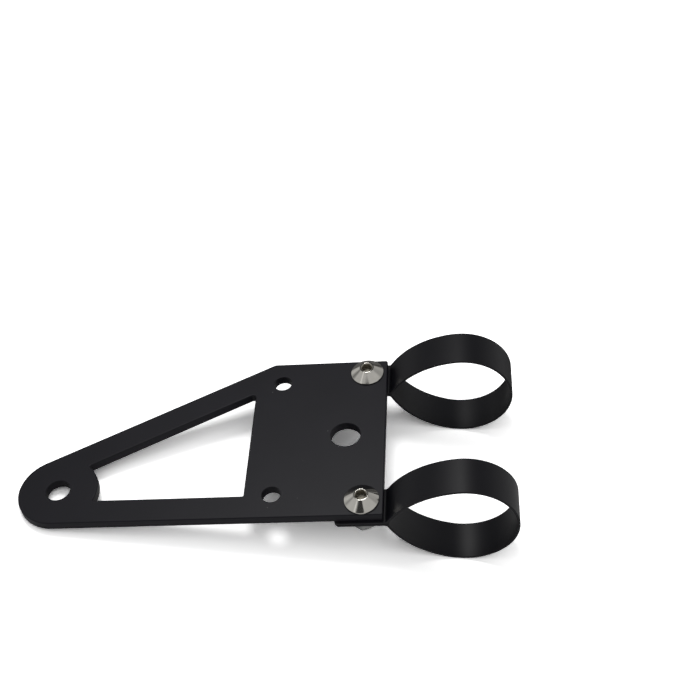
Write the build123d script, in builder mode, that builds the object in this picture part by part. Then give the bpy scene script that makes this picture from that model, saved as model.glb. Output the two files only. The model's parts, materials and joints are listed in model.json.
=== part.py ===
from build123d import *
import math
import os

# Headlight mounting bracket for a motorbike fork, in millimetres.
# A flat steel plate carries the lamp in the ear at its long end. Two sheet-steel straps are looped
# round the fork tube, and each is pinched shut under the plate by one screw and its nut.
# The bracket lies at rest, +Z up, with its origin on the fork axis midway between the loops.
# Y is the fork axis, and the plate reaches out along -X.

# Plate, in its own plane: u runs along its length from the clamp edge, v along that edge from its middle.
plate_thickness = 4.0
clamp_edge = 80.0
far_edge = 47.8
ear_reach = 129.8
ear_radius = 16.1
plate_corner = 0.8
edge_break = 0.3

# Window between the ear and the clamp end.
window_reach = 54.6
near_bar = 10.6
slope_bar = 10.7
ear_ring = 16.0
window_corner = 0.6
window_top_corner = 1.4

# Plain holes. Reaches run in from the clamp edge, and insets from the plate's long edges.
lamp_hole = 9.7
indicator_hole = 12.1
indicator_reach = 16.0
bolt_hole = 7.4
bolt_reach = 43.7
bolt_inset = 11.0

# Clamp screws, with a flange under a low cone and a hexagon socket.
screw_reach = 8.3
screw_inset = 7.0
screw_hole = 6.4
screw_diameter = 6.0
screw_length = 16.0
screw_point = 0.8
flange_diameter = 13.6
flange_rim = 0.7
head_height = 3.7
crown_diameter = 5.8
socket_flats = 4.0
socket_depth = 2.8
socket_point = 0.9
socket_mouth = 4.9
socket_mouth_fall = 2.4

# Hexagon nuts.
nut_flats = 10.0
nut_height = 6.3
nut_face = 9.4
nut_chamfer_slope = 20.0
nut_mouth = 6.8
thread_clearance = 0.05

# Straps: one bent strip each, with a round loop for the fork tube and two flat tails.
fork_diameter = 40.0
fork_reach = 30.5
fork_drop = 2.55
strap_thickness = 1.0
strap_width = 16.0
leg_radius = 36.0
bend_radius = 1.5
bend_reach = 0.3
tail_length = 10.8
tail_corner = 2.0
tail_gap = 0.1

# The two clamps along the fork: the side of the plate's middle, and the turn of its socket and of its nut.
clamps = {
    "lower": {"side": -1, "socket_turn": 12.0, "nut_turn": -7.0},
    "upper": {"side": 1, "socket_turn": 4.0, "nut_turn": 14.0},
}

# Heights through the clamped stack, along the plate's normal w from its top face.
tails_top = -plate_thickness
tails_middle = tails_top - strap_thickness - tail_gap / 2
tails_bottom = tails_top - 2 * strap_thickness - tail_gap
fork_w = tails_middle - fork_drop
loop_radius = (fork_diameter + strap_thickness) / 2
loop_outer_radius = fork_diameter / 2 + strap_thickness

# The bracket rests on the ear's lower edge and on both loops, which tilts the plate.
rest_run = fork_reach + ear_reach + ear_radius - edge_break
rest_fall = fork_w + plate_thickness
rest_distance = math.hypot(rest_run, rest_fall)
tilt = math.asin(loop_outer_radius / rest_distance) - math.atan2(rest_fall, rest_run)

# Work planes: the plate's top face, with its origin at the middle of the clamp edge, and sections across it.
along = Vector(math.cos(tilt), 0, math.sin(tilt))
normal = Vector(-math.sin(tilt), 0, math.cos(tilt))
plate_top = Plane(origin=along * -fork_reach - normal * fork_w, x_dir=along, z_dir=normal)


def section_at(u, v):
    """The plane across the fork axis through u, v on the plate's top face, with x along u and y along w."""
    return Plane(origin=plate_top.from_local_coords(Vector(u, v, 0)), x_dir=along, z_dir=(0, -1, 0))


os.makedirs("parts", exist_ok=True)

# Plate outline: the sloping edge and the near edge both run tangent into the round ear.
near_v = -clamp_edge / 2
far_v = clamp_edge / 2
ear_centre = Vector(-ear_reach, near_v + ear_radius)
far_corner = Vector(-far_edge, far_v)
to_ear = ear_centre - far_corner
slope_angle = math.atan2(to_ear.Y, to_ear.X) - math.asin(ear_radius / to_ear.length)
slope = Vector(math.cos(slope_angle), math.sin(slope_angle))
inward = Vector(-slope.Y, slope.X)
slope_foot = ear_centre - inward * ear_radius
ear_tip = ear_centre - Vector(ear_radius, 0)
near_foot = Vector(-ear_reach, near_v)

# Window: its sides follow the plate's edges, and its narrow end is a ring round the lamp hole.
window_low = near_v + near_bar
window_side = far_corner + inward * slope_bar
window_high = window_side.Y - (window_reach + window_side.X) * slope.Y / slope.X
ring_drop = ear_centre.Y - window_low
ring_low = Vector(math.sqrt(ear_ring**2 - ring_drop**2) - ear_reach, window_low)
ring_rise = ear_radius - slope_bar
ring_high = ear_centre - inward * ring_rise - slope * math.sqrt(ear_ring**2 - ring_rise**2)
ring_tip = ear_centre + ((ring_low + ring_high) / 2 - ear_centre).normalized() * ear_ring
window_corner_low = Vector(-window_reach, window_low)
window_corner_high = Vector(-window_reach, window_high)

with BuildPart() as plate:
    with BuildSketch(plate_top) as blank:
        with BuildLine():
            Polyline(near_foot, (0, near_v), (0, far_v), far_corner, slope_foot)
            ThreePointArc(slope_foot, ear_tip, near_foot)
        make_face()
        fillet(blank.vertices().group_by(Axis.X)[-1], radius=plate_corner)
        fillet(blank.vertices().sort_by_distance(far_corner)[0], radius=plate_corner)
    extrude(amount=-plate_thickness)
    with BuildSketch(plate_top) as window:
        with BuildLine():
            Polyline(ring_low, window_corner_low, window_corner_high, ring_high)
            ThreePointArc(ring_high, ring_tip, ring_low)
        make_face()
        fillet(window.vertices().sort_by_distance(window_corner_high)[0], radius=window_top_corner)
        fillet(window.vertices().sort_by_distance(window_corner_low)[0], radius=window_corner)
        fillet(window.vertices().sort_by_distance(ring_low)[0], radius=window_corner)
        fillet(window.vertices().sort_by_distance(ring_high)[0], radius=window_corner)
    extrude(amount=-plate_thickness, mode=Mode.SUBTRACT)
    chamfer(plate.faces().filter_by(plate_top).edges(), length=edge_break)
    with BuildSketch(plate_top):
        with Locations(ear_centre):
            Circle(lamp_hole / 2)
        with Locations((-indicator_reach, 0)):
            Circle(indicator_hole / 2)
        with Locations((-bolt_reach, near_v + bolt_inset), (-bolt_reach, far_v - bolt_inset)):
            Circle(bolt_hole / 2)
        with Locations((-screw_reach, near_v + screw_inset), (-screw_reach, far_v - screw_inset)):
            Circle(screw_hole / 2)
    extrude(amount=-plate_thickness, mode=Mode.SUBTRACT)
plate.part.label = "bracket_plate"
export_step(plate.part, "parts/bracket_plate.step")

# Strap section, as middle lines: the loop's circle, two wide leg arcs and the reverse bends into the tails.
fork_centre = Vector(fork_reach, fork_w)
tail_end = -screw_reach - tail_length
tail_offset = (strap_thickness + tail_gap) / 2


def bend_centre(side):
    """Centre of the reverse bend above (side 1) or below (side -1) the tails."""
    return Vector(bend_reach, tails_middle + side * (tail_offset + bend_radius))


def leg_centre(side):
    """Centre of the leg arc that touches the reverse bend from outside and the loop's circle from inside."""
    start = bend_centre(side)
    to_fork = fork_centre - start
    from_bend = leg_radius + bend_radius
    from_fork = leg_radius - loop_radius
    run = (from_bend**2 - from_fork**2 + to_fork.length**2) / (2 * to_fork.length)
    rise = math.sqrt(from_bend**2 - run**2)
    direction = to_fork.normalized()
    return start + direction * run + Vector(direction.Y, -direction.X) * (side * rise)


def heading(start, end):
    """Direction from one point to another, in degrees."""
    return math.degrees(math.atan2(end.Y - start.Y, end.X - start.X))


def draw_strap_face(outset):
    """One face of the strip, from tail to tail, at the given distance outside its middle line."""
    for side in (1, -1):
        bend = bend_centre(side)
        leg = leg_centre(side)
        tail_w = tails_middle + side * (tail_offset + outset)
        bend_turn = heading(bend, leg) + side * 90
        leg_start = heading(leg, bend)
        leg_end = heading(leg, fork_centre)
        Line((tail_end, tail_w), (bend_reach, tail_w))
        CenterArc(bend, bend_radius - outset, side * -90, bend_turn)
        CenterArc(leg, leg_radius + outset, leg_start, leg_end - leg_start)
    loop_start = heading(leg_centre(1), fork_centre)
    loop_end = heading(leg_centre(-1), fork_centre)
    CenterArc(fork_centre, loop_radius + outset, loop_start, loop_end - loop_start)


for name, clamp in clamps.items():
    clamp_v = clamp["side"] * (far_v - screw_inset)

    with BuildPart() as strap:
        with BuildSketch(section_at(0, clamp_v)):
            with BuildLine():
                draw_strap_face(strap_thickness / 2)
                draw_strap_face(-strap_thickness / 2)
                Line((tail_end, tails_top), (tail_end, tails_top - strap_thickness))
                Line((tail_end, tails_bottom), (tail_end, tails_bottom + strap_thickness))
            make_face()
        extrude(amount=strap_width / 2, both=True)
        upright_edges = strap.edges().filter_by(Axis((0, 0, 0), normal))
        fillet(upright_edges.group_by(Axis((0, 0, 0), along))[0], radius=tail_corner)
        with BuildSketch(plate_top.offset(tails_top)):
            with Locations((-screw_reach, clamp_v)):
                Circle(screw_hole / 2)
        extrude(amount=tails_bottom - tails_top, mode=Mode.SUBTRACT)
    strap.part.label = f"{name}_clamp_strap"
    export_step(strap.part, f"parts/{name}_clamp_strap.step")

    # Screw: turned head and shank in one profile, then the socket.
    screw_section = section_at(-screw_reach, clamp_v)
    screw_axis = Axis(screw_section.origin, screw_section.y_dir)
    with BuildPart() as screw:
        with BuildSketch(screw_section):
            with BuildLine():
                Polyline(
                    (0, head_height),
                    (crown_diameter / 2, head_height),
                    (flange_diameter / 2, flange_rim),
                    (flange_diameter / 2, 0),
                    (screw_diameter / 2, 0),
                    (screw_diameter / 2, screw_point - screw_length),
                    (screw_diameter / 2 - screw_point, -screw_length),
                    (0, -screw_length),
                    close=True,
                )
            make_face()
        revolve(axis=screw_axis)
        with BuildSketch(plate_top.offset(head_height)):
            with Locations((-screw_reach, clamp_v)):
                RegularPolygon(socket_flats / 2, 6, major_radius=False, rotation=clamp["socket_turn"])
        extrude(amount=-socket_depth, mode=Mode.SUBTRACT)
        with BuildSketch(screw_section):
            with BuildLine():
                Polyline(
                    (0, head_height),
                    (socket_mouth / 2, head_height),
                    (0, head_height - socket_mouth_fall),
                    close=True,
                )
            make_face()
            with BuildLine():
                Polyline(
                    (0, head_height - socket_depth),
                    (socket_flats / 2, head_height - socket_depth),
                    (0, head_height - socket_depth - socket_point),
                    close=True,
                )
            make_face()
        revolve(axis=screw_axis, mode=Mode.SUBTRACT)
    screw.part.label = f"{name}_clamp_screw"
    export_step(screw.part, f"parts/{name}_clamp_screw.step")

    # Nut: a hexagon with its corners turned off at both ends and a countersunk bore.
    nut_corner = nut_flats / math.sqrt(3)
    nut_fall = (nut_corner - nut_face / 2) * math.tan(math.radians(nut_chamfer_slope))
    nut_bottom = tails_bottom - nut_height
    bore = screw_diameter / 2 + thread_clearance
    mouth = nut_mouth / 2
    with BuildPart() as nut:
        with BuildSketch(plate_top.offset(tails_bottom)):
            with Locations((-screw_reach, clamp_v)):
                RegularPolygon(nut_flats / 2, 6, major_radius=False, rotation=30 + clamp["nut_turn"])
        extrude(amount=-nut_height)
        with BuildSketch(screw_section):
            with BuildLine():
                Polyline(
                    (bore, tails_bottom + bore - mouth),
                    (mouth, tails_bottom),
                    (nut_face / 2, tails_bottom),
                    (nut_corner, tails_bottom - nut_fall),
                    (nut_corner, nut_bottom + nut_fall),
                    (nut_face / 2, nut_bottom),
                    (mouth, nut_bottom),
                    (bore, nut_bottom - bore + mouth),
                    close=True,
                )
            make_face()
        revolve(axis=screw_axis, mode=Mode.INTERSECT)
    nut.part.label = f"{name}_clamp_nut"
    export_step(nut.part, f"parts/{name}_clamp_nut.step")
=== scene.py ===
import json
import math

import bmesh
import bpy
from mathutils import Matrix, Vector


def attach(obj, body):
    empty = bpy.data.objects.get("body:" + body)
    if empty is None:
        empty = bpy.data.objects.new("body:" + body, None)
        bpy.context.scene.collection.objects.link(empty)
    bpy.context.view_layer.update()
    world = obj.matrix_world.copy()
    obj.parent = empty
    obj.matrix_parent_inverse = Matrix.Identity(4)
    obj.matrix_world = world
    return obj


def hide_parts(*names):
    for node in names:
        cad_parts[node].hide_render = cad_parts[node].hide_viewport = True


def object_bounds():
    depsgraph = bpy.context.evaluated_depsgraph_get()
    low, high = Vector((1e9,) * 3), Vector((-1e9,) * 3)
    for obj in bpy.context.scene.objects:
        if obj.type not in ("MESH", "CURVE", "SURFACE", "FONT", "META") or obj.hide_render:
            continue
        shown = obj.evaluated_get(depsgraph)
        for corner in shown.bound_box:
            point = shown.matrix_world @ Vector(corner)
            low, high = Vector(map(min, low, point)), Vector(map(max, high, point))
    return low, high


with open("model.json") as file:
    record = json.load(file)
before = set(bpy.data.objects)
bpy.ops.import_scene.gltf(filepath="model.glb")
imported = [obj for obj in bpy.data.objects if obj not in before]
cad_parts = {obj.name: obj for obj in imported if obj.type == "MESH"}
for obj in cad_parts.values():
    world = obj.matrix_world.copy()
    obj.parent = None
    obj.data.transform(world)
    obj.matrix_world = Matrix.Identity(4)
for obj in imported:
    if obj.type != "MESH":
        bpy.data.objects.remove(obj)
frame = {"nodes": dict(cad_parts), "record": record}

cad_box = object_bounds()

# Bracket plate: flat steel, laser cut and powder coated satin black.
# The coat is baked on after cutting, so it runs over every edge in a small radius and lies in a faint
# orange peel. The two clamp screws hold the plate at its wide end.
mm = 0.001
same_point = 0.002 * mm
flat_within = math.radians(0.8)
sharp_from = math.radians(30)
edge_segments = 3
plate_edge_radius = 0.16 * mm
noise_spread = (0.3, 0.7)
coat_noise_detail = {"Cloud": 3, "Peel": 1, "Grain": 2}
grain_in_height = 0.25
dust_speck_fades = (0.035, 0.015)


def whole_faces(node):
    """A copy of a node's triangles, joined at their corners and merged into whole flat faces."""
    shape = bmesh.new()
    shape.from_mesh(frame["nodes"][node].data)
    bmesh.ops.remove_doubles(shape, verts=shape.verts, dist=same_point)
    bmesh.ops.dissolve_limit(shape, angle_limit=flat_within, verts=shape.verts, edges=shape.edges)
    return shape


def piece_from(shape, name):
    """A smooth-shaded object at the origin, made from a bmesh, which is freed."""
    mesh = bpy.data.meshes.new(name)
    for face in shape.faces:
        face.smooth = True
    shape.to_mesh(mesh)
    shape.free()
    piece = bpy.data.objects.new(name, mesh)
    bpy.context.scene.collection.objects.link(piece)
    return piece


def apply_modifiers(piece):
    """Turns the piece into a plain mesh, with what its modifiers make."""
    evaluated = piece.evaluated_get(bpy.context.evaluated_depsgraph_get())
    finished = bpy.data.meshes.new_from_object(evaluated)
    piece.modifiers.clear()
    piece.data = finished


def round_edges(piece, radius):
    """Rounds the piece's sharp edges and keeps its flat faces flat to the eye."""
    bevel = piece.modifiers.new("rounded_edges", "BEVEL")
    bevel.width = radius
    bevel.segments = edge_segments
    bevel.limit_method = "ANGLE"
    bevel.angle_limit = sharp_from
    bevel.use_clamp_overlap = False
    shading = piece.modifiers.new("large_faces_lead", "WEIGHTED_NORMAL")
    shading.mode = "FACE_AREA"
    apply_modifiers(piece)


def add_sockets(tree, in_out, kind, *names):
    """Gives a node tree named inputs or outputs of one kind."""
    for name in names:
        tree.interface.new_socket(name, in_out=in_out, socket_type=f"NodeSocket{kind}")


def feed(tree, value, socket):
    """Sets a socket to a plain value, or joins it to another socket."""
    if isinstance(value, bpy.types.NodeSocket):
        tree.links.new(value, socket)
    else:
        socket.default_value = value


def work_out(tree, operation, *values):
    """One sum of numbers and sockets."""
    node = tree.nodes.new("ShaderNodeMath")
    node.operation = operation
    for value, socket in zip(values, node.inputs):
        feed(tree, value, socket)
    return node.outputs[0]


def fade(tree, value, start, end, first=0, last=1, curve="LINEAR"):
    """Goes from a first to a last level while a value goes from start to end."""
    node = tree.nodes.new("ShaderNodeMapRange")
    node.interpolation_type = curve
    for name, level in (("From Min", start), ("From Max", end), ("To Min", first), ("To Max", last)):
        node.inputs[name].default_value = level
    tree.links.new(value, node.inputs["Value"])
    return node.outputs["Result"]


def blend(tree, mask, first, second, kind="RGBA"):
    """Goes from a first to a second colour or number as a mask goes from 0 to 1."""
    node = tree.nodes.new("ShaderNodeMix")
    node.data_type = kind
    for value, name in ((mask, "Factor"), (first, "A"), (second, "B")):
        feed(tree, value, node.inputs[name])
    return node.outputs["Result"]


def sized_texture(tree, kind, place, size):
    """A texture over a place, with features about as large as a size."""
    texture = tree.nodes.new(kind)
    tree.links.new(place, texture.inputs["Vector"])
    tree.links.new(work_out(tree, "DIVIDE", 1, size), texture.inputs["Scale"])
    return texture


def coat_surface_group():
    """What a baked coat shows up close: cloudy tone, orange peel, fine grain and a few dust specks."""
    group = bpy.data.node_groups.new("coat_surface", "ShaderNodeTree")
    add_sockets(group, "INPUT", "Float", "Cloud Size", "Peel Size", "Grain Size", "Dust Spacing")
    add_sockets(group, "OUTPUT", "Float", "Cloud", "Grain", "Height", "Dust")
    given = group.nodes.new("NodeGroupInput").outputs
    made = group.nodes.new("NodeGroupOutput").inputs
    place = group.nodes.new("ShaderNodeTexCoord").outputs["Object"]
    noise = {}
    for name, detail in coat_noise_detail.items():
        texture = sized_texture(group, "ShaderNodeTexNoise", place, given[f"{name} Size"])
        texture.inputs["Detail"].default_value = detail
        noise[name] = texture.outputs["Fac"]
    specks = sized_texture(group, "ShaderNodeTexVoronoi", place, given["Dust Spacing"])
    results = {
        "Cloud": noise["Cloud"],
        "Grain": noise["Grain"],
        "Height": work_out(group, "MULTIPLY_ADD", noise["Grain"], grain_in_height, noise["Peel"]),
        "Dust": fade(group, specks.outputs["Distance"], *dust_speck_fades),
    }
    for name, result in results.items():
        group.links.new(result, made[name])
    return group


coat_surface = coat_surface_group()


def surface_finish(name, group, masks, sizes, tones, roughness, depth):
    """A finish whose tone, gloss and relief follow masks of a surface group, and that group's node."""
    material = bpy.data.materials.new(name)
    material.use_nodes = True
    tree = material.node_tree
    shader = tree.nodes["Principled BSDF"]
    surface = tree.nodes.new("ShaderNodeGroup")
    surface.node_tree = group
    for size_name, size in sizes.items():
        surface.inputs[size_name].default_value = size
    tone_mask, gloss_mask, relief = [surface.outputs[mask] for mask in masks]
    first_tone, last_tone = [(*tone, 1) for tone in tones]
    tree.links.new(blend(tree, tone_mask, first_tone, last_tone), shader.inputs["Base Color"])
    tree.links.new(fade(tree, gloss_mask, *noise_spread, *roughness), shader.inputs["Roughness"])
    bump = tree.nodes.new("ShaderNodeBump")
    bump.inputs["Strength"].default_value = 1
    bump.inputs["Distance"].default_value = depth
    tree.links.new(relief, bump.inputs["Height"])
    tree.links.new(bump.outputs["Normal"], shader.inputs["Normal"])
    return material, surface


def lay_over(material, finish, mask, value):
    """Lays another colour or roughness over a material's own, where a mask says."""
    tree = material.node_tree
    target = tree.nodes["Principled BSDF"].inputs[finish]
    kind = "RGBA" if target.type == "RGBA" else "FLOAT"
    tree.links.new(blend(tree, mask, target.links[0].from_socket, value, kind), target)


def satin_coat(name, index, dust_colour, **surface_values):
    """Satin black coat: a dim clear sheen over near-black, with a few specks of dust."""
    material, surface = surface_finish(name, coat_surface, ("Cloud", "Grain", "Height"), **surface_values)
    material.node_tree.nodes["Principled BSDF"].inputs["IOR"].default_value = index
    lay_over(material, "Base Color", surface.outputs["Dust"], (*dust_colour, 1))
    return material


plate_coat = satin_coat(
    "plate_powder_coat",
    index=1.265,
    dust_colour=(0.06, 0.06, 0.06),
    sizes={"Cloud Size": 22 * mm, "Peel Size": 0.9 * mm, "Grain Size": 0.14 * mm, "Dust Spacing": 9 * mm},
    tones=((0.0060, 0.0058, 0.0080), (0.0090, 0.0087, 0.0120)),
    roughness=(0.36, 0.46),
    depth=0.012 * mm,
)
plate = piece_from(whole_faces("bracket_plate"), "powder_coated_plate")
round_edges(plate, plate_edge_radius)
plate.data.materials.append(plate_coat)
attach(plate, "root")
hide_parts("bracket_plate")

# Fork straps: one steel strip each, bent round the fork tube with both tails flat under the plate.
# The strip is coated smooth satin black after bending, and its screw pinches it shut.
clamp_names = ("lower", "upper")
strap_edge_radius = 0.18 * mm
strap_coat = satin_coat(
    "strap_satin_coat",
    index=1.325,
    dust_colour=(0.05, 0.05, 0.05),
    sizes={"Cloud Size": 14 * mm, "Peel Size": 1.6 * mm, "Grain Size": 0.2 * mm, "Dust Spacing": 13 * mm},
    tones=((0.0034, 0.0033, 0.0048), (0.0050, 0.0048, 0.0068)),
    roughness=(0.40, 0.48),
    depth=0.006 * mm,
)
for clamp in clamp_names:
    strap = piece_from(whole_faces(f"{clamp}_clamp_strap"), f"{clamp}_fork_strap")
    round_edges(strap, strap_edge_radius)
    strap.data.materials.append(strap_coat)
    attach(strap, "root")
    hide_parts(f"{clamp}_clamp_strap")

# Clamp screws: stainless M6 with a flanged cone head and a hexagon socket, turned and then thread rolled.
# Each goes down through the plate and both tails of its strap into a nut. The thread runs up to the head.
screw_length = 16 * mm
thread_start_inside_head = 0.02 * mm
thread_sizes = {
    "Root Radius": 2.42 * mm,
    "Crest Radius": 2.98 * mm,
    "Pitch": 1 * mm,
    "Length": screw_length + thread_start_inside_head,
    "Point": 0.8 * mm,
    "Crest Share": 0.14,
    "Root Share": 0.86,
}
steps_round_thread = 48
ridge_sunk_share = 0.3
ridge_start_share = 0.1
point_taper = 0.6
head_rings = {
    "flange": (6.8 * mm, 0.15 * mm),
    "crown": (2.9 * mm, 0.14 * mm),
    "mouth": (2.45 * mm, 0.10 * mm),
}
ring_within = 0.03 * mm
socket_edge_radius = 0.05 * mm
round_profile = 0.5
steel_noise_detail = 2
turning_map = "turning_plane"
socket_wall_fades = (2.40 * mm, 2.30 * mm)
socket_colour = (0.34, 0.32, 0.27)
socket_roughness = 0.55
# The screws stand square to the plate, so their axis is the lamp hole's.
lamp_hole = next(mount for mount in frame["record"]["mounts"] if mount["name"] == "lamp_hole")
screw_axis = Vector(lamp_hole["axis"]).normalized()
upright_to_screw = Vector((0, 0, 1)).rotation_difference(screw_axis).to_matrix()


def thread_tree():
    """A rolled thread along +Z: a core with a chamfered point and one ridge wound round it as a helix."""
    tree = bpy.data.node_groups.new("rolled_thread", "GeometryNodeTree")
    add_sockets(tree, "INPUT", "Float", *thread_sizes)
    add_sockets(tree, "INPUT", "Material", "Material")
    add_sockets(tree, "OUTPUT", "Geometry", "Geometry")
    nodes, links = tree.nodes, tree.links
    given = nodes.new("NodeGroupInput").outputs
    made = nodes.new("NodeGroupOutput").inputs

    def named(value):
        """A named input's socket, or the value itself."""
        return given[value] if isinstance(value, str) else value

    def calc(operation, *values):
        """One sum of named inputs, sockets and numbers."""
        return work_out(tree, operation, *[named(value) for value in values])

    def place_at(*values):
        """A place made of three values."""
        node = nodes.new("ShaderNodeCombineXYZ")
        for value, socket in zip(values, node.inputs):
            feed(tree, value, socket)
        return node.outputs[0]

    def shape_node(kind, **values):
        """A node with its inputs set, each by its name with underscores for spaces."""
        node = nodes.new(kind)
        for name, value in values.items():
            feed(tree, named(value), node.inputs[name.replace("_", " ")])
        return node

    turns = calc("DIVIDE", "Length", "Pitch")
    helix = shape_node(
        "GeometryNodeCurveSpiral",
        Resolution=steps_round_thread,
        Rotations=turns,
        Start_Radius="Root Radius",
        End_Radius="Root Radius",
        Height="Length",
        Reverse=True,
    )
    outward = shape_node("GeometryNodeSetCurveNormal", Curve=helix.outputs["Curve"])
    outward.mode = "Z_UP"

    depth = calc("SUBTRACT", "Crest Radius", "Root Radius")
    below_root = calc("MULTIPLY", depth, -ridge_sunk_share)
    half_crest = calc("MULTIPLY", calc("MULTIPLY", "Pitch", "Crest Share"), 0.5)
    half_root = calc("MULTIPLY", calc("MULTIPLY", "Pitch", "Root Share"), 0.5)
    ridge_section = nodes.new("GeometryNodeCurvePrimitiveQuadrilateral")
    ridge_section.mode = "POINTS"
    corners = (
        (below_root, calc("MULTIPLY", half_root, -1)),
        (depth, calc("MULTIPLY", half_crest, -1)),
        (depth, half_crest),
        (below_root, half_root),
    )
    for number, (out, along) in enumerate(corners, start=1):
        feed(tree, place_at(out, along, 0), ridge_section.inputs[f"Point {number}"])

    along_thread = nodes.new("GeometryNodeSplineParameter")
    turns_from_tip = calc("MULTIPLY", along_thread.outputs["Factor"], turns)
    ridge = shape_node(
        "GeometryNodeCurveToMesh",
        Curve=outward.outputs["Curve"],
        Profile_Curve=ridge_section.outputs["Curve"],
        Scale=calc("MINIMUM", calc("ADD", turns_from_tip, ridge_start_share), 1),
        Fill_Caps=True,
    )

    core_length = calc("SUBTRACT", "Length", "Point")
    core = shape_node(
        "GeometryNodeMeshCylinder",
        Vertices=steps_round_thread,
        Radius="Root Radius",
        Depth=core_length,
    )
    core_middle = calc("ADD", "Point", calc("MULTIPLY", core_length, 0.5))
    core_in_place = shape_node(
        "GeometryNodeTransform",
        Geometry=core.outputs["Mesh"],
        Translation=place_at(0, 0, core_middle),
    )
    chamfer = shape_node(
        "GeometryNodeMeshCone",
        Vertices=steps_round_thread,
        Radius_Top="Root Radius",
        Radius_Bottom=calc("SUBTRACT", "Root Radius", calc("MULTIPLY", "Point", point_taper)),
        Depth="Point",
    )

    joined = nodes.new("GeometryNodeJoinGeometry")
    for part in (ridge.outputs["Mesh"], core_in_place.outputs["Geometry"], chamfer.outputs["Mesh"]):
        links.new(part, joined.inputs[0])
    real = shape_node("GeometryNodeRealizeInstances", Geometry=joined.outputs[0])
    finished = shape_node("GeometryNodeSetMaterial", Geometry=real.outputs[0], Material="Material")
    links.new(finished.outputs[0], made["Geometry"])
    return tree


def steel_surface_group():
    """What machined steel shows up close: fine tool lines across a given place, and dull finger smudges."""
    group = bpy.data.node_groups.new("steel_surface", "ShaderNodeTree")
    add_sockets(group, "INPUT", "Vector", "Line Place")
    add_sockets(group, "INPUT", "Float", "Line Spacing", "Smudge Size")
    add_sockets(group, "OUTPUT", "Float", "Lines", "Smudge")
    given = group.nodes.new("NodeGroupInput").outputs
    made = group.nodes.new("NodeGroupOutput").inputs
    body_place = group.nodes.new("ShaderNodeTexCoord").outputs["Object"]
    for place, size_name, result in (
        (given["Line Place"], "Line Spacing", "Lines"),
        (body_place, "Smudge Size", "Smudge"),
    ):
        texture = sized_texture(group, "ShaderNodeTexNoise", place, given[size_name])
        texture.inputs["Detail"].default_value = steel_noise_detail
        group.links.new(texture.outputs["Fac"], made[result])
    return group


steel_surface = steel_surface_group()


def machined_steel(name, **surface_values):
    """Bare stainless steel, smudged and tool marked, and the socket that takes the place its lines cross."""
    material, surface = surface_finish(name, steel_surface, ("Smudge", "Smudge", "Lines"), **surface_values)
    material.node_tree.nodes["Principled BSDF"].inputs["Metallic"].default_value = 1
    return material, surface.inputs["Line Place"]


stainless, ring_place = machined_steel(
    "turned_stainless",
    sizes={"Line Spacing": 0.12 * mm, "Smudge Size": 2.5 * mm},
    tones=((0.565, 0.548, 0.505), (0.665, 0.645, 0.600)),
    roughness=(0.12, 0.07),
    depth=0.0008 * mm,
)
tree = stainless.node_tree
turning = tree.nodes.new("ShaderNodeUVMap")
turning.uv_map = turning_map
from_axis = tree.nodes.new("ShaderNodeVectorMath")
from_axis.operation = "LENGTH"
tree.links.new(turning.outputs["UV"], from_axis.inputs[0])
ring = tree.nodes.new("ShaderNodeCombineXYZ")
tree.links.new(from_axis.outputs["Value"], ring.inputs["X"])
tree.links.new(ring.outputs[0], ring_place)
in_socket = fade(tree, from_axis.outputs["Value"], *socket_wall_fades)
lay_over(stainless, "Base Color", in_socket, (*socket_colour, 1))
lay_over(stainless, "Roughness", in_socket, socket_roughness)
rolled_thread = thread_tree()


def threaded_shank(name):
    """The shank's thread as a plain mesh along +Z, tip at the origin."""
    shank = bpy.data.objects.new(name, bpy.data.meshes.new(name))
    bpy.context.scene.collection.objects.link(shank)
    thread = shank.modifiers.new("thread", "NODES")
    thread.node_group = rolled_thread
    values = {**thread_sizes, "Material": stainless}
    for socket in rolled_thread.interface.items_tree:
        if socket.in_out == "INPUT":
            thread[socket.identifier] = values[socket.name]
    apply_modifiers(shank)
    return shank


def map_turning_plane(screw, tip):
    """Gives the screw a UV map of its own cross-section, measured from its axis."""
    mesh = screw.data
    plane = mesh.uv_layers.new(name=turning_map)
    to_upright = upright_to_screw.transposed()
    for corner in mesh.loops:
        upright = to_upright @ (mesh.vertices[corner.vertex_index].co - tip)
        plane.uv[corner.index].vector = upright.xy


def round_ring(shape, tip, distance, radius):
    """Rounds the edges that run round the screw's axis at a distance from it."""
    on_ring = set()
    for vertex in shape.verts:
        from_tip = vertex.co - tip
        off_axis = (from_tip - screw_axis * from_tip.dot(screw_axis)).length
        if abs(off_axis - distance) < ring_within:
            on_ring.add(vertex)
    edges = []
    for edge in shape.edges:
        first, second = edge.verts
        rise = abs((second.co - first.co).dot(screw_axis))
        if first in on_ring and second in on_ring and rise < same_point:
            edges.append(edge)
    bmesh.ops.bevel(
        shape,
        geom=edges,
        offset=radius,
        segments=edge_segments,
        profile=round_profile,
        affect="EDGES",
    )


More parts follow.
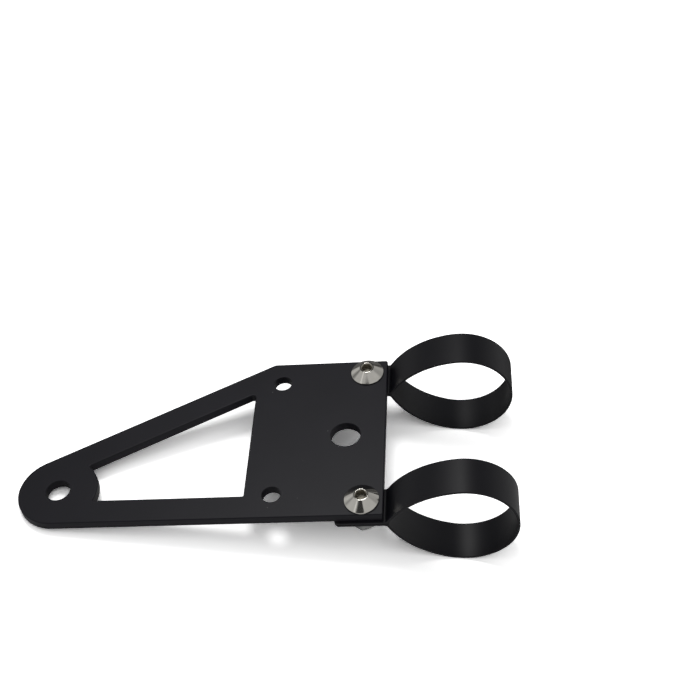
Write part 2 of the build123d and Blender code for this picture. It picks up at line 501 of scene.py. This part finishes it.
for clamp in clamp_names:
    shape = whole_faces(f"{clamp}_clamp_screw")
    heights = {vertex: vertex.co.dot(screw_axis) for vertex in shape.verts}
    lowest = min(heights.values())
    tip_ring = [vertex.co for vertex, height in heights.items() if height < lowest + same_point]
    tip = sum(tip_ring, Vector()) / len(tip_ring)
    seat = lowest + screw_length
    middles = {face: face.calc_center_median().dot(screw_axis) for face in shape.faces}
    below_seat = [face for face, middle in middles.items() if middle < seat - same_point]
    bmesh.ops.delete(shape, geom=below_seat, context="FACES")
    bmesh.ops.holes_fill(shape, edges=[edge for edge in shape.edges if edge.is_boundary])
    for distance, radius in head_rings.values():
        round_ring(shape, tip, distance, radius)
    screw = piece_from(shape, f"{clamp}_flange_screw")
    round_edges(screw, socket_edge_radius)
    screw.data.materials.append(stainless)
    shank = threaded_shank(f"{clamp}_shank")
    shank.data.transform(Matrix.Translation(tip) @ upright_to_screw.to_4x4())
    with bpy.context.temp_override(active_object=screw, selected_editable_objects=[screw, shank]):
        bpy.ops.object.join()
    map_turning_plane(screw, tip)
    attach(screw, "root")
    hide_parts(f"{clamp}_clamp_screw")

# Hexagon nuts: plain stainless M6, cut from drawn bar with the corners turned off at both ends.
# One sits under the tails of each strap, on the end of its screw.
nut_edge_radius = 0.12 * mm
drawn_stretch = 0.03
nut_steel, drawn_place = machined_steel(
    "nut_steel",
    sizes={"Line Spacing": 0.25 * mm, "Smudge Size": 3 * mm},
    tones=((0.44, 0.44, 0.43), (0.56, 0.56, 0.55)),
    roughness=(0.34, 0.24),
    depth=0.003 * mm,
)
tree = nut_steel.node_tree
nut_place = tree.nodes.new("ShaderNodeTexCoord")
along_bar = tree.nodes.new("ShaderNodeMapping")
along_bar.vector_type = "TEXTURE"
along_bar.inputs["Rotation"].default_value = upright_to_screw.to_euler()
along_bar.inputs["Scale"].default_value = (1, 1, 1 / drawn_stretch)
tree.links.new(nut_place.outputs["Object"], along_bar.inputs["Vector"])
tree.links.new(along_bar.outputs["Vector"], drawn_place)
for clamp in clamp_names:
    nut = piece_from(whole_faces(f"{clamp}_clamp_nut"), f"{clamp}_hexagon_nut")
    round_edges(nut, nut_edge_radius)
    nut.data.materials.append(nut_steel)
    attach(nut, "root")
    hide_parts(f"{clamp}_clamp_nut")

# Studio floor: a wide matt white table that stays white behind the bracket and keeps its soft shadow.
# The lens sees it over-exposed, and reflections see a dark card that lies behind the bracket.
floor_half = 0.6
floor_lit = (0.80, 0.80, 0.80, 1)
floor_seen = (1.65, 1.65, 1.65, 1)
floor_mirrored = (0.45, 0.45, 0.45, 1)
card_mirrored = (0.11, 0.11, 0.11, 1)
card_near_edge = (0.045, 0.055)
card_right_edge = (0.07, 0.05)
card_right_spread = 0.25
card_left_edge = (-0.11, -0.09)
card_left_spread = -0.35
floor_mesh = bpy.data.meshes.new("studio_floor")
floor_mesh.from_pydata(
    [(x * floor_half, y * floor_half, cad_box[0].z) for x, y in ((-1, -1), (1, -1), (1, 1), (-1, 1))],
    [],
    [(0, 1, 2, 3)],
)
floor = bpy.data.objects.new("studio_floor", floor_mesh)
bpy.context.scene.collection.objects.link(floor)
floor_white = bpy.data.materials.new("floor_white")
floor_white.use_nodes = True
tree = floor_white.node_tree
tree.nodes.remove(tree.nodes["Principled BSDF"])


def tone_by_ray(tree, lit, mirrored, seen):
    """Tones of a backdrop: as it lights things, as reflections show it, and as the lens or glass does."""
    path = tree.nodes.new("ShaderNodeLightPath").outputs
    direct = work_out(tree, "MAXIMUM", path["Is Camera Ray"], path["Is Transmission Ray"])
    return blend(tree, direct, blend(tree, path["Is Glossy Ray"], lit, mirrored), seen)


floor_place = tree.nodes.new("ShaderNodeTexCoord")
floor_axes = tree.nodes.new("ShaderNodeSeparateXYZ")
tree.links.new(floor_place.outputs["Object"], floor_axes.inputs[0])
on_card = 1
for axis, spread, edge in (
    ("Y", 0, card_near_edge),
    ("X", card_right_spread, card_right_edge),
    ("X", card_left_spread, card_left_edge),
):
    slanted = work_out(tree, "MULTIPLY_ADD", floor_axes.outputs["Y"], -spread, floor_axes.outputs[axis])
    on_card = work_out(tree, "MULTIPLY", on_card, fade(tree, slanted, *edge))
mirrored_tone = blend(tree, on_card, floor_mirrored, card_mirrored)
matt = tree.nodes.new("ShaderNodeBsdfDiffuse")
tree.links.new(tone_by_ray(tree, floor_lit, mirrored_tone, floor_seen), matt.inputs["Color"])
tree.links.new(matt.outputs[0], tree.nodes["Material Output"].inputs["Surface"])
floor_mesh.materials.append(floor_white)

# Studio lights: one soft key from above and behind, in a tent that fills from its front and top.
# In reflections the tent is pale in front and dim behind. The lens looks through an opening in its
# front, which the near screw head shows as a dark wedge beside the bright edge of the cloth.
bracket_middle = (cad_box[0] + cad_box[1]) / 2
key_turn = math.radians(-24)
key_rise = math.radians(66)
key_distance = 1.2
key_size = 0.38
key_level = 0.40
white_watts_at_one_metre = math.pi ** 2
to_key = Vector((
    math.sin(key_turn) * math.cos(key_rise),
    math.cos(key_turn) * math.cos(key_rise),
    math.sin(key_rise),
))
key_light = bpy.data.lights.new("key_softbox", "AREA")
key_light.size = key_size
key_light.energy = key_level * white_watts_at_one_metre * key_distance ** 2
key = bpy.data.objects.new("key_softbox", key_light)
key.matrix_world = (
    Matrix.Translation(bracket_middle + to_key * key_distance)
    @ to_key.to_track_quat("Z", "Y").to_matrix().to_4x4()
)
bpy.context.scene.collection.objects.link(key)

fill_from = (0.15, -0.27, 0.95)
fill_rises = (0.2, 0.9)
fill_levels = (0.29, 1.03)
tent_seen = (1.0, 1.0, 1.0, 1)
back_tones = (
    (0.03, 0.58),
    (0.17, 0.45),
    (0.28, 0.30),
    (0.36, 0.08),
    (0.44, 0.03),
    (0.60, 0.04),
    (0.70, 0.18),
    (0.80, 0.24),
    (0.92, 0.22),
    (0.97, 0.62),
)
front_tone = (0.58, 0.58, 0.58)
back_starts = (0.05, 0.30)
back_doorway = (0.80, 0.90)
doorway_dark = 0.12
opening_middle = -0.27
opening_side = (0.29, 0.33)
opening_far_edge = (-0.55, -0.525)
opening_dark = 0.08
edge_middle = -0.63
edge_side = (0.04, 0.08)
edge_bright = 1.5
world = bpy.data.worlds.new("light_tent")
bpy.context.scene.world = world
world.use_nodes = True
world.cycles.sampling_method = "NONE"
tent = world.node_tree
direction = tent.nodes.new("ShaderNodeTexCoord").outputs["Generated"]
separated = tent.nodes.new("ShaderNodeSeparateXYZ")
tent.links.new(direction, separated.inputs[0])
towards_right, towards_back, towards_top = separated.outputs
over_the_top = work_out(tent, "ARCTAN2", towards_top, towards_right)
right_to_left = work_out(tent, "DIVIDE", work_out(tent, "ABSOLUTE", over_the_top), math.pi)
back_wall = tent.nodes.new("ShaderNodeValToRGB")
stops = back_wall.color_ramp.elements
while len(stops) < len(back_tones):
    stops.new(1)
for stop, (place, tone) in zip(stops, back_tones):
    stop.position = place
    stop.color = (tone, tone, tone, 1)
tent.links.new(right_to_left, back_wall.inputs["Fac"])


def soft_step(value, span, first, last):
    """Goes softly from one level to another while a value crosses a span."""
    return fade(tent, value, *span, first, last, curve="SMOOTHSTEP")


def dimmed(colour, level):
    """A wall's tone times a level."""
    scaled = tent.nodes.new("ShaderNodeVectorMath")
    scaled.operation = "SCALE"
    feed(tent, colour, scaled.inputs[0])
    feed(tent, level, scaled.inputs["Scale"])
    return scaled.outputs["Vector"]


def beside(middle):
    """How far a direction lies to either side of a place across the front."""
    return work_out(tent, "ABSOLUTE", work_out(tent, "SUBTRACT", towards_right, middle))


round_opening = work_out(
    tent,
    "MAXIMUM",
    soft_step(beside(opening_middle), opening_side, opening_dark, 1),
    soft_step(towards_back, opening_far_edge, opening_dark, 1),
)
cloth_edge = soft_step(beside(edge_middle), edge_side, edge_bright, 1)
front = dimmed(front_tone, work_out(tent, "MULTIPLY", round_opening, cloth_edge))
back = dimmed(back_wall.outputs["Color"], soft_step(towards_back, back_doorway, 1, doorway_dark))
tent_mirrored = blend(tent, soft_step(towards_back, back_starts, 0, 1), front, back)
towards_fill = tent.nodes.new("ShaderNodeVectorMath")
towards_fill.operation = "DOT_PRODUCT"
towards_fill.inputs[1].default_value = fill_from
tent.links.new(direction, towards_fill.inputs[0])
tent_fill = soft_step(towards_fill.outputs["Value"], fill_rises, *fill_levels)
tent_tone = tone_by_ray(tent, tent_fill, tent_mirrored, tent_seen)
tent.links.new(tent_tone, tent.nodes["Background"].inputs["Color"])

# Camera: a short telephoto lens half a metre from the bracket, looking down at 46 degrees.
# Its place and turns come from the plate's straight edges as the photograph shows them.
camera_place = Vector((-44.54, -324.58, 387.66)) * mm
camera_turn = math.radians(0.44)
camera_fall = math.radians(46.14)
camera_roll = math.radians(2.90)
focal_length = 64.7
sensor_width = 36
lens = bpy.data.cameras.new("camera")
lens.lens = focal_length
lens.sensor_width = sensor_width
camera = bpy.data.objects.new("camera", lens)
camera.matrix_world = (
    Matrix.Translation(camera_place)
    @ Matrix.Rotation(camera_turn, 4, "Z")
    @ Matrix.Rotation(math.pi / 2 - camera_fall, 4, "X")
    @ Matrix.Rotation(camera_roll, 4, "Z")
)
bpy.context.scene.collection.objects.link(camera)
bpy.context.scene.camera = camera
bpy.context.scene.view_settings.view_transform = "Standard"
